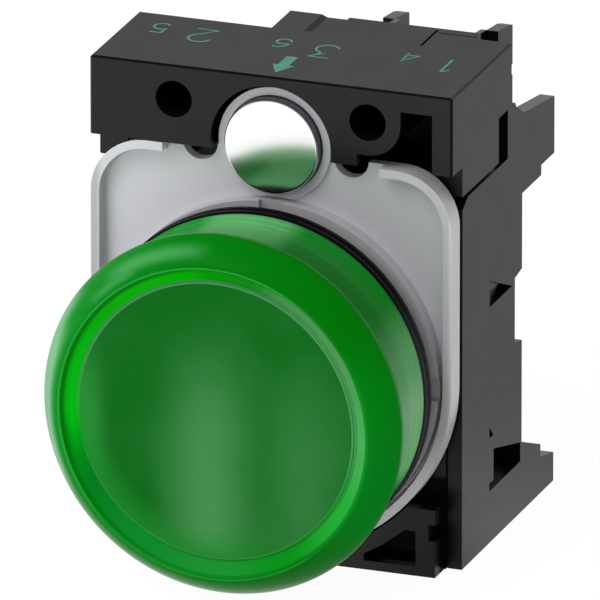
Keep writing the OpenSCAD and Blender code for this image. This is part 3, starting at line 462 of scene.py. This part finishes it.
def floor_material():
    """White floor. Reflections see it dimmer behind the object and towards the dark flag."""
    material = bpy.data.materials.new("floor_white")
    material.use_nodes = True
    tree = material.node_tree
    tree.nodes.clear()
    place = add(tree, "ShaderNodeTexCoord").outputs["Object"]
    depth = add(tree, "ShaderNodeSeparateXYZ", Vector=place).outputs["Y"]
    level = remap(tree, depth, FLOOR_NEAR_BAND, FLOOR_FRONT, FLOOR_BEHIND, smooth=True)
    level = remap(tree, depth, FLOOR_FAR_BAND, level, HORIZON_REFLECTED, smooth=True)
    seen = shown_or_reflected(tree, FLOOR_SHOWN, beside_flag(tree, place, level))
    glow = add(tree, "ShaderNodeEmission", Strength=seen)
    matt = add(tree, "ShaderNodeBsdfDiffuse", Color=(FLOOR_PAINT, FLOOR_PAINT, FLOOR_PAINT, 1))
    mix = add(tree, "ShaderNodeMixShader", Fac=combine(tree, "MULTIPLY", seen_directly(tree), FLOOR_GLOWING))
    tree.links.new(matt.outputs[0], mix.inputs[1])
    tree.links.new(glow.outputs[0], mix.inputs[2])
    add(tree, "ShaderNodeOutputMaterial", Surface=mix.outputs[0])
    return material


def make_floor():
    """Floor under the object, which keeps the object's shadow."""
    signs = ((-1, -1), (1, -1), (1, 1), (-1, 1))
    corners = [(x * FLOOR_HALF, y * FLOOR_HALF, FLOOR_Z * MM) for x, y in signs]
    mesh = bpy.data.meshes.new("floor")
    mesh.from_pydata(corners, [], [(0, 1, 2, 3)])
    mesh.materials.append(floor_material())
    floor = bpy.data.objects.new("floor", mesh)
    bpy.context.scene.collection.objects.link(floor)


def softbox(name, azimuth, elevation, distance, width, height, level):
    """Area lamp, in metres, that faces the object and lights a white surface there to this level."""
    data = bpy.data.lights.new(name, "AREA")
    data.shape = "RECTANGLE"
    data.size = width
    data.size_y = height
    data.energy = level * math.pi ** 2 * distance ** 2
    lamp = bpy.data.objects.new(name, data)
    away = direction(azimuth, elevation)
    lamp.location = VIEW_CENTRE + away * distance
    lamp.rotation_mode = "QUATERNION"
    lamp.rotation_quaternion = (-away).to_track_quat("-Z", "Y")
    lamp.visible_camera = False
    lamp.visible_glossy = False
    bpy.context.scene.collection.objects.link(lamp)


# Materials

def new_material(name, colour, **sockets):
    """Material with a plain colour and the values of its shader's sockets, its node tree and its shader."""
    material = bpy.data.materials.new(name)
    material.use_nodes = True
    shader = material.node_tree.nodes["Principled BSDF"]
    shader.inputs["Base Color"].default_value = linear(*colour)
    for key, value in sockets.items():
        shader.inputs[key.replace("_", " ")].default_value = value
    return material, material.node_tree, shader


def hollow_shade_mask(tree):
    """Mask of painted shade: rises from 0 where the surface lies deep in the hollows of the block or of the
    bracket below it.
    """
    parts = object_place(tree)
    behind = rise(tree, parts["Y"], FRONT_Y + HOLLOW_START)
    block = combine(tree, "MULTIPLY", ridge(tree, parts["X"], 0, HOLLOW_HALF), behind,
                    fall(tree, parts["Y"], FRONT_Y + HOLLOW_END),
                    fall(tree, parts["Z"], HOLDER_TOP - HOLLOW_SKIN), HOLLOW_GAIN)
    bracket = combine(tree, "MULTIPLY", behind, fall(tree, parts["Z"], BRACKET_TOP))
    return combine(tree, "MAXIMUM", block, bracket)


def moulded(name, colour, lighter, roughness, specular, grain=0.11, hollows=False):
    """Plastic from a spark-eroded mould, with a fine grain, an uneven gloss and, if asked, painted shade in
    its hollows, where the shine is taken away.
    """
    material, tree, shader = new_material(name, colour, Specular_IOR_Level=specular, Specular_Tint=COOL_SHINE)
    fine = noise(tree, grain, 1.0)
    gloss = spread(tree, noise(tree, 2.6, 3.0), roughness - GLOSS_VARIATION, roughness + GLOSS_VARIATION)
    surface = blend_colours(tree, spread(tree, fine, 0, 1), colour, lighter)
    tree.links.new(surface, shader.inputs["Base Color"])
    tree.links.new(gloss, shader.inputs["Roughness"])
    if hollows:
        # Painted shade: less shine deep in the hollows
        shine = remap(tree, hollow_shade_mask(tree), (0, 1), specular, HOLLOW_SHADE_SPECULAR)
        tree.links.new(shine, shader.inputs["Specular IOR Level"])
    add_bump(tree, shader, (fine, MOULD_DEPTH))
    return material


def metal(name, colour, darker, roughness, grain, stretch=(1, 1, 1), shine=1.0):
    """Metal with a directional or even grain and faint cloudy tarnish. A matt coat takes away some shine."""
    material, tree, shader = new_material(name, colour, Metallic=shine)
    fine = noise(tree, grain, 2.0, stretch)
    gloss = spread(tree, fine, roughness - METAL_VARIATION, roughness + METAL_VARIATION)
    tarnish = spread(tree, noise(tree, 3.4, 3.0), 0, 1)
    tree.links.new(blend_colours(tree, tarnish, colour, darker), shader.inputs["Base Color"])
    tree.links.new(gloss, shader.inputs["Roughness"])
    add_bump(tree, shader, (fine, METAL_DEPTH))
    return material


def plate_material():
    """Zinc plating with an even fine grain and painted light: lighter to the left and low down, painted shade
    to the right and on the left edge, a painted highlight on the right edge.
    """
    material, tree, shader = new_material("plate_grey", (220, 220, 223), Metallic=0.2)
    # The first colour is the plate painted as lit on the left, the second painted in shade on the right
    left, right = (231, 229, 236), (203, 202, 207)
    shaded_left_edge, highlit_right_edge = (196, 196, 199), (238, 238, 240)
    highlit_low, tarnished = (255, 253, 255), (190, 190, 192)
    parts = object_place(tree)
    across = remap(tree, parts["X"], [place * MM for place in PLATE_SHADE_ACROSS])
    low = remap(tree, parts["Z"], [place * MM for place in PLATE_HIGHLIGHT_DOWN])
    tarnish = spread(tree, noise(tree, 3.4, 3.0), 0, 0.06)
    colour = blend_colours(tree, across, left, right)
    # Painted highlight on the right edge, painted shade on the left edge, painted highlight low down
    colour = blend_colours(tree, ridge(tree, parts["X"], *PLATE_RIGHT_EDGE_HIGHLIGHT), colour, highlit_right_edge)
    colour = blend_colours(tree, ridge(tree, parts["X"], *PLATE_LEFT_EDGE_SHADE), colour, shaded_left_edge)
    colour = blend_colours(tree, low, colour, highlit_low)
    colour = blend_colours(tree, tarnish, colour, tarnished)
    fine = noise(tree, 0.12, 2.0)
    tree.links.new(colour, shader.inputs["Base Color"])
    tree.links.new(spread(tree, fine, 0.38, 0.44), shader.inputs["Roughness"])
    add_bump(tree, shader, (fine, METAL_DEPTH))
    return material


def seal_material():
    """Black rubber with a painted highlight where it faces the right."""
    black, lighter, highlight_grey = (8, 5, 9), (12, 9, 13), (62, 59, 65)
    material, tree, shader = new_material("panel_seal", black, Roughness=0.45, Specular_IOR_Level=0.12)
    fine = noise(tree, 0.2, 1.0)
    rubber = blend_colours(tree, spread(tree, fine, 0, 1), black, lighter)
    # Painted highlight where the seal faces the right
    highlit = combine(tree, "MULTIPLY", towards(tree, *SEAL_HIGHLIGHT_ANGLES), SEAL_HIGHLIGHT_STRENGTH)
    tree.links.new(blend_colours(tree, highlit, rubber, highlight_grey), shader.inputs["Base Color"])
    add_bump(tree, shader, (fine, MOULD_DEPTH))
    return material


def foot_face_material():
    """Bright nickel with painted shade towards its lower edge, where it faces the lens."""
    # The second colour is the painted shade low on the face
    bright, reflected_shade = (254, 254, 255), (214, 200, 210)
    material, tree, shader = new_material("foot_face", bright, Metallic=1.0)
    heights = [(FOOT_Z - depth) * MM for depth in FOOT_SHADE_BAND]
    low = remap(tree, object_place(tree)["Z"], heights, smooth=True)
    fine = noise(tree, 0.08, 2.0, (1, 1, 8))
    tree.links.new(blend_colours(tree, low, bright, reflected_shade), shader.inputs["Base Color"])
    tree.links.new(spread(tree, fine, 0.15, 0.17), shader.inputs["Roughness"])
    add_bump(tree, shader, (fine, 0.0002))
    return material


def circuit_board_material():
    """Green lacquer over a woven base, with the copper tracks showing through."""
    material, tree, shader = new_material("board_green", (22, 92, 52), Roughness=0.35)
    height = object_place(tree)["Z"]
    track = combine(tree, "MAXIMUM", *[ridge(tree, height, z, 0.45) for z in BOARD_TRACKS])
    weave = spread(tree, noise(tree, 0.25, 1.0, (1, 1, 3)), 0, 1)
    lacquer = blend_colours(tree, weave, (20, 86, 48), (26, 98, 58))
    tree.links.new(blend_colours(tree, track, lacquer, (40, 124, 70)), shader.inputs["Base Color"])
    add_bump(tree, shader, (track, 0.02), (weave, 0.002))
    return material


def led_material():
    """Clear tinted resin in front of the tinned leads."""
    material, tree, shader = new_material("led_clear", (196, 232, 200), Roughness=0.12)
    leads = remap(tree, object_place(tree)["Y"], (LED_FLANGE - 0.05 * MM, LED_FLANGE))
    cloud = spread(tree, noise(tree, 1.4, 2.0), 0, 1)
    resin = blend_colours(tree, cloud, (186, 226, 192), (206, 238, 210))
    clear = combine(tree, "MULTIPLY", combine(tree, "SUBTRACT", 1.0, leads), 0.5)
    tree.links.new(blend_colours(tree, leads, resin, (196, 196, 198)), shader.inputs["Base Color"])
    tree.links.new(leads, shader.inputs["Metallic"])
    tree.links.new(clear, shader.inputs["Transmission Weight"])
    add_bump(tree, shader, (cloud, 0.002))
    return material


def resistor_material():
    """Tan lacquer with four colour bands, on tinned wires."""
    material, tree, shader = new_material("resistor_tan", (206, 184, 140), Roughness=0.4)
    height = object_place(tree)["Z"]
    cloud = spread(tree, noise(tree, 0.8, 2.0), 0, 1)
    colour = blend_colours(tree, cloud, (202, 180, 136), (212, 192, 150))
    bands = ((-3.0, (150, 30, 30)), (-1.6, (120, 40, 110)), (-0.2, (190, 120, 30)), (2.9, (170, 140, 60)))
    for z, band in bands:
        distance = single(tree, "ABSOLUTE", combine(tree, "SUBTRACT", height, z * MM))
        inside = combine(tree, "LESS_THAN", distance, RESISTOR_BAND_HALF * MM)
        colour = blend_colours(tree, inside, colour, band)
    wire = combine(tree, "GREATER_THAN", single(tree, "ABSOLUTE", height), RESISTOR_HALF)
    tree.links.new(blend_colours(tree, wire, colour, (200, 200, 202)), shader.inputs["Base Color"])
    tree.links.new(wire, shader.inputs["Metallic"])
    add_bump(tree, shader, (cloud, 0.004))
    return material


def capacitor_material():
    """Blue sleeve with a pale stripe."""
    material, tree, shader = new_material("capacitor_blue", (34, 48, 92), Roughness=0.3)
    cloud = spread(tree, noise(tree, 0.9, 2.0), 0, 1)
    sleeve = blend_colours(tree, cloud, (30, 44, 86), (38, 54, 100))
    stripe = ridge(tree, object_place(tree)["Y"], CAPACITOR_Y, 0.75)
    tree.links.new(blend_colours(tree, stripe, sleeve, (190, 196, 206)), shader.inputs["Base Color"])
    add_bump(tree, shader, (cloud, 0.003))
    return material


def make_materials():
    """Materials of the CAD nodes and of the foot's flank, by name."""
    black, black_grain = (10, 10, 12), (13, 13, 15)
    return {
        "holder_black": moulded("holder_black", black, black_grain, 0.3, 0.34, hollows=True),
        "frame_black": moulded("frame_black", black, black_grain, 0.3, 0.34),
        "module_black": moulded("module_black", black, black_grain, 0.3, 0.36),
        "barrel_black": moulded("barrel_black", (12, 12, 13), (16, 16, 17), 0.35, 0.4),
        "part_black": moulded("part_black", (20, 20, 21), (26, 26, 27), 0.5, 0.4),
        "seal_black": moulded("seal_black", (8, 5, 9), (12, 9, 13), 0.4, 0.12, grain=0.2),
        "panel_seal": seal_material(),
        "diffuser_white": moulded("diffuser_white", (225, 228, 222), (235, 238, 232), 0.35, 0.5),
        "plate_grey": plate_material(),
        "ring_grey": metal("ring_grey", (198, 196, 200), (192, 190, 194), 0.42, 0.12, shine=0.25),
        "foot_dark": metal("foot_dark", (112, 112, 118), (98, 98, 104), 0.35, 0.08, (1, 1, 8), shine=0.5),
        "board_green": circuit_board_material(),
        "led_clear": led_material(),
        "resistor_tan": resistor_material(),
        "capacitor_blue": capacitor_material(),
        "screw_steel": metal("screw_steel", (190, 190, 192), (160, 158, 156), 0.3, 0.1, (8, 1, 8)),
        "clamp_steel": metal("clamp_steel", (196, 196, 200), (172, 170, 168), 0.34, 0.1, (1, 1, 6)),
        "contact_brass": metal("contact_brass", (212, 188, 132), (190, 162, 108), 0.34, 0.1, (6, 1, 1)),
    }


def lens_face_material():
    """Frosted face with painted light: upright soft highlight bands and a bright left edge that fade towards
    the top, and a painted glow round the lower left.
    """
    dark, bright, edge_glow, rim_glow = (13, 108, 27), (74, 148, 84), (46, 158, 60), (26, 142, 42)
    material, tree, shader = new_material("lens_face", (20, 104, 30), Roughness=0.5, Specular_IOR_Level=0.05)
    parts = object_place(tree)
    fade = remap(tree, parts["Z"], [height * MM for height in FACE_FADE], smooth=True)
    bands = [combine(tree, "MULTIPLY", ridge(tree, parts["X"], place, reach), strength)
             for place, reach, strength in FACE_HIGHLIGHT_BANDS]
    glow = combine(tree, "MULTIPLY", combine(tree, "ADD", *bands), fade)
    cloud = spread(tree, noise(tree, 5, 2.0), -0.05, 0.05)
    edge = combine(tree, "MULTIPLY", ridge(tree, parts["X"], *FACE_EDGE), fade, FACE_EDGE_STRENGTH)
    rim = combine(tree, "MULTIPLY", rise(tree, lens_radius(tree), *FACE_RIM),
                  towards(tree, *FACE_RIM_ANGLES), FACE_RIM_STRENGTH)
    colour = blend_colours(tree, combine(tree, "ADD", glow, cloud), dark, bright)
    colour = blend_colours(tree, edge, colour, edge_glow)
    tree.links.new(blend_colours(tree, rim, colour, rim_glow), shader.inputs["Base Color"])
    add_bump(tree, shader, (noise(tree, 0.09, 1.0), 0.0012))
    return material


def clear_green(name, stops, lines, roughness, specular):
    """Glossy green resin with painted glow, highlights, reflections and shade that change round the axis by
    its stops and soft rings.
    """
    material, tree, shader = new_material(name, (3, 124, 20), Specular_IOR_Level=specular)
    cloud = noise(tree, 2.6, 2.0)
    # The resin's green with painted glow and reflections by angle, then painted highlight and shade rings
    tint = blend_colours(tree, spread(tree, cloud, 0, 0.06), palette(tree, stops), (0, 150, 20))
    places = {"r": lens_radius(tree), "y": object_place(tree)["Y"]}
    for coordinate, place, reach, angle, start, end, strength, colour in lines:
        across = ridge(tree, places[coordinate], place, reach)
        factor = combine(tree, "MULTIPLY", across, towards(tree, angle, start, end), strength)
        tint = blend_colours(tree, factor, tint, colour)
    tree.links.new(tint, shader.inputs["Base Color"])
    tree.links.new(spread(tree, cloud, roughness - 0.02, roughness + 0.02), shader.inputs["Roughness"])
    add_bump(tree, shader, (cloud, 0.0002))
    return material


# Geometry

def soft_line(corners, steps=6):
    """Outline through corners (x, y, reach), each rounded from that far before it to that far behind it."""
    points = []
    for index, (x, y, reach) in enumerate(corners):
        if reach == 0 or index in (0, len(corners) - 1):
            points.append((x, y))
            continue
        here = Vector((x, y))
        before = here + (Vector(corners[index - 1][:2]) - here).normalized() * reach
        after = here + (Vector(corners[index + 1][:2]) - here).normalized() * reach
        for step in range(steps + 1):
            t = step / steps
            point = before * (1 - t) ** 2 + here * 2 * t * (1 - t) + after * t ** 2
            points.append((point.x, point.y))
    return points


def ellipse(centre_x, centre_y, radius_x, radius_y, start, end, steps, power=1.0):
    """Points on a stretch of an ellipse, by the angle in degrees. A power above 1 makes it less full."""
    def reach(share):
        return math.copysign(abs(share) ** power, share)
    angles = [math.radians(start + (end - start) * i / steps) for i in range(steps + 1)]
    return [(centre_x + radius_x * reach(math.cos(angle)), centre_y + radius_y * reach(math.sin(angle)))
            for angle in angles]


def add_piece(name, mesh, slots, body, smooth=True):
    """Object of a finished mesh, with its materials, attached to its body."""
    for material in slots:
        mesh.materials.append(material)
    mesh.validate()
    if smooth:
        mesh.shade_smooth()
    made = bpy.data.objects.new(name, mesh)
    bpy.context.scene.collection.objects.link(made)
    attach(made, body)
    return made


def turned_mesh(name, outline, zone, segments, axis_z=0.0):
    """Mesh of an outline (radius, Y) in millimetres, turned about an axis along Y.

    zone gives the number of a face's material, from the middle of its stretch of the outline.
    """
    vertices, rows, faces, zones = [], [], [], []
    for radius, y in outline:
        if radius < 1e-6:
            rows.append([len(vertices)] * segments)
            vertices.append((0, y * MM, axis_z * MM))
            continue
        rows.append(list(range(len(vertices), len(vertices) + segments)))
        for i in range(segments):
            a = 2 * math.pi * i / segments
            vertices.append((radius * math.sin(a) * MM, y * MM, (axis_z + radius * math.cos(a)) * MM))
    for step in range(len(outline) - 1):
        (r0, y0), (r1, y1) = outline[step], outline[step + 1]
        for i in range(segments):
            j = (i + 1) % segments
            corners = [rows[step][i], rows[step][j], rows[step + 1][j], rows[step + 1][i]]
            faces.append(list(dict.fromkeys(corners)))
            zones.append(zone((r0 + r1) / 2, (y0 + y1) / 2))
    mesh = bpy.data.meshes.new(name)
    mesh.from_pydata(vertices, [], faces)
    mesh.polygons.foreach_set("material_index", zones)
    mesh.update()
    return mesh


def make_lens():
    """Lens with a domed face, a groove round it, a soft shoulder and a stepped collar, hollow from behind."""
    dome_r = FACE_R - FACE_CHAMFER
    crest_corner = (CREST_R - CREST_WIDTH, LENS_FRONT + CREST_DROP)
    shares = [q / LENS_DOME_STEPS for q in range(LENS_DOME_STEPS - 1)]
    dome = [(dome_r * share, FACE_Y - FACE_DOME * (1 - share ** 2)) for share in shares]
    groove = soft_line([
        (*dome[-1], 0), (dome_r, FACE_Y, 0.08), (FACE_R, FACE_Y + FACE_CHAMFER / 2, 0.06),
        (FACE_R, GROOVE_Y, 0.05), (FACE_R + GROOVE_FLOOR, GROOVE_Y, 0.06), (*crest_corner, 0.09),
        (CREST_R, LENS_FRONT, 0)])
    shoulder = ellipse(CREST_R, WIDEST_Y, LENS_R - CREST_R, LENS_FRONT - WIDEST_Y,
                       90 - CREST_GAP, 0, SHOULDER_STEPS, SHOULDER_POWER)
    tuck = ellipse(COLLAR_R, WIDEST_Y, LENS_R - COLLAR_R, TUCK_LEN, TUCK_GAP, 90, TUCK_STEPS)
    first, second = LENS_BACK - 2 * RING_LEN, LENS_BACK - RING_LEN
    rings = soft_line([
        (*tuck[-1], 0), (COLLAR_R, first, 0.05), (COLLAR_R + RING_STEP, first + RING_STEP, 0.05),
        (COLLAR_R + RING_STEP, second, 0.05), (COLLAR_R + 2 * RING_STEP, second + RING_STEP, 0.05),
        (COLLAR_R + 2 * RING_STEP, LENS_BACK, 0.06), (COLLAR_R - LENS_WALL, LENS_BACK, 0.06),
        (COLLAR_R - LENS_WALL, WIDEST_Y, 0.2), (FACE_R - LENS_WALL / 2, FACE_Y + LENS_WALL, 0.2),
        (0, FACE_Y + LENS_WALL - FACE_DOME, 0)])
    on_face, on_groove, on_shoulder, on_collar = range(4)

    def zone(radius, y):
        if y > WIDEST_Y + COLLAR_ZONE_START * TUCK_LEN:
            return on_collar
        if y > FACE_Y + LENS_WALL / 2 or radius > crest_corner[0]:
            return on_shoulder
        return on_face if radius < dome_r - FACE_ZONE_INSET else on_groove

    mesh = turned_mesh("lens_body", dome + groove[1:] + shoulder + tuck + rings[1:], zone, LENS_SEGMENTS)
    slots = [lens_face_material(),
             clear_green("lens_groove", GROOVE_GREEN_AND_GLOW, GROOVE_LIGHT_AND_SHADE, 0.2, 0.03),
             clear_green("lens_shoulder", SHOULDER_GREEN_AND_LIGHT, SHOULDER_LIGHT_AND_SHADE, 0.2, 0.06),
             clear_green("lens_collar", COLLAR_GREEN_AND_REFLECTIONS, COLLAR_SHADE_RINGS, 0.3, 0.05)]
    lens = add_piece("lens_body", mesh, slots, "holder")
    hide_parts("lens_cap")


def make_foot(flank_material):
    """Round foot with a faintly domed face and a soft edge, bored from behind."""
    edge = FOOT_R - FOOT_BEVEL
    flank = FOOT_FRONT + FOOT_DOME + FOOT_BEVEL
    shares = [q / FOOT_DOME_STEPS for q in range(FOOT_DOME_STEPS)]
    dome = [(edge * share, FOOT_FRONT + FOOT_DOME * share ** 2) for share in shares]
    rim = soft_line([
        (*dome[-1], 0), (edge, FOOT_FRONT + FOOT_DOME, 0.08), (FOOT_R, flank, 0.08),
        (FOOT_R, FOOT_BACK, 0.08), (FOOT_BORE_R, FOOT_BACK, 0.05), (FOOT_BORE_R, FOOT_BORE_END, 0.05),
        (0, FOOT_BORE_END, 0)])
    mesh = turned_mesh("foot_disc", dome + rim[1:], lambda radius, y: int(y > flank), FOOT_SEGMENTS, FOOT_Z)
    foot = add_piece("foot_disc", mesh, [foot_face_material(), flank_material], "clamp_foot")
    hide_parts("clamp_foot")


# Marks on the top of the block: numbers beside the holes and an arrow

# The figures' strokes, as lines through points in a frame of this width and height whose corner is at 0, 0
FIGURE_WIDTH = 0.6
FIGURE_HEIGHT = 1.0
STROKES = {
    "1": [[(0.22, 0.84), (0.42, 1), (0.42, 0)]],
    "2": [ellipse(0.3, 0.7, 0.3, 0.3, 170, -35, 9) + [(0, 0), (0.6, 0)]],
    "3": [[(0.04, 1), (0.56, 1), (0.27, 0.62)] + ellipse(0.27, 0.31, 0.31, 0.31, 90, -160, 10)],
    "4": [[(0.48, 0.25), (0, 0.25), (0.48, 1), (0.48, 0)]],
    "5": [[(0.55, 1), (0.1, 1), (0.06, 0.55)] + ellipse(0.28, 0.32, 0.3, 0.32, 130, -150, 10)],
    "6": [ellipse(0.4, 0.3, 0.4, 0.7, 60, 180, 8) + ellipse(0.3, 0.3, 0.3, 0.3, 180, 540, 14)[1:]],
}
# Number, place of its middle across and behind the front of the block, width and height, in millimetres
NUMBERS = [("5", -12.0, 7.8, 1.3, 2.1), ("2", -8.3, 7.2, 1.8, 2.9), ("6", -1.8, 7.7, 1.2, 1.9),
           ("3", 1.9, 7.0, 1.8, 2.9), ("4", 8.6, 7.9, 1.2, 1.9), ("1", 12.3, 7.1, 1.8, 2.9)]
# Right half of the arrow from its tip on: places across and behind the front of the block
ARROW_HALF = [(0, 1.1), (0.9, 2.93), (0.465, 2.93), (0.465, 4.95)]
# The marks, in millimetres: the width of a stroke, and how far they lie below and above the block's top
MARK_WIDTH = 0.19
MARK_SUNK = 0.02
MARK_PROUD = 0.004
# Slope below which a joint between strokes isn't mitred any further
MITRE_LIMIT = 0.5


def ribbon(points, width):
    """Corners of both sides of a line of some width, with mitred joints."""
    left, right = [], []
    for index, point in enumerate(points):
        before = (point - points[index - 1]).normalized() if index else None
        after = (points[index + 1] - point).normalized() if index + 1 < len(points) else None
        along = ((before or after) + (after or before)).normalized()
        normal = Vector((-along.y, along.x))
        slope = Vector((-(after or before).y, (after or before).x)).dot(normal)
        offset = normal * width / 2 / max(slope, MITRE_LIMIT)
        left.append(point + offset)
        right.append(point - offset)
    return left + right[::-1]


def prism(vertices, faces, outline):
    """Adds a closed prism over an outline whose second half runs back beside its first, in millimetres."""
    count, first = len(outline), len(vertices)
    for z in (HOLDER_TOP - MARK_SUNK, HOLDER_TOP + MARK_PROUD):
        vertices.extend((point[0] * MM, point[1] * MM, z * MM) for point in outline)
    for i in range(count // 2 - 1):
        j = count - 1 - i
        faces.append((first + i, first + i + 1, first + j - 1, first + j))
        faces.append((first + count + j, first + count + j - 1, first + count + i + 1, first + count + i))
    for i in range(count):
        k = (i + 1) % count
        faces.append((first + i, first + k, first + count + k, first + count + i))


def make_marks():
    """Numbers and arrow, printed on the block to be read from behind."""
    vertices, faces = [], []
    for figure, x, y, width, height in NUMBERS:
        for stroke in STROKES[figure]:
            line = [Vector((x - (u - FIGURE_WIDTH / 2) * width / FIGURE_WIDTH,
                            FRONT_Y + y - (v - FIGURE_HEIGHT / 2) * height)) for u, v in stroke]
            prism(vertices, faces, ribbon(line, MARK_WIDTH))
    arrow = ARROW_HALF + [(-x, y) for x, y in reversed(ARROW_HALF)]
    prism(vertices, faces, [Vector((x, FRONT_Y + y)) for x, y in arrow])
    mesh = bpy.data.meshes.new("marks")
    mesh.from_pydata(vertices, [], faces)
    material, tree, shader = new_material("mark_teal", (78, 160, 134), Roughness=0.5)
    worn = spread(tree, noise(tree, 0.35, 2.0), 0, 0.5)
    tree.links.new(blend_colours(tree, worn, (80, 162, 138), (46, 112, 92)), shader.inputs["Base Color"])
    add_piece("marks", mesh, [material], "holder", smooth=False)


# The scene

def dress_nodes(materials):
    """Gives each CAD node that is kept its material."""
    for node_name, material_name in MATERIAL_OF_NODE.items():
        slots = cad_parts[node_name].data.materials
        slots.clear()
        slots.append(materials[material_name])


materials = make_materials()
make_camera()
make_world()
make_floor()
softbox("key", azimuth=-30, elevation=50, distance=0.8, width=0.5, height=0.5, level=0.5)
softbox("left_strip", azimuth=-84, elevation=27, distance=0.7, width=0.35, height=0.3, level=0.25)
make_lens()
make_foot(materials["foot_dark"])
make_marks()
dress_nodes(materials)

bpy.context.scene.view_settings.view_transform = "Standard"
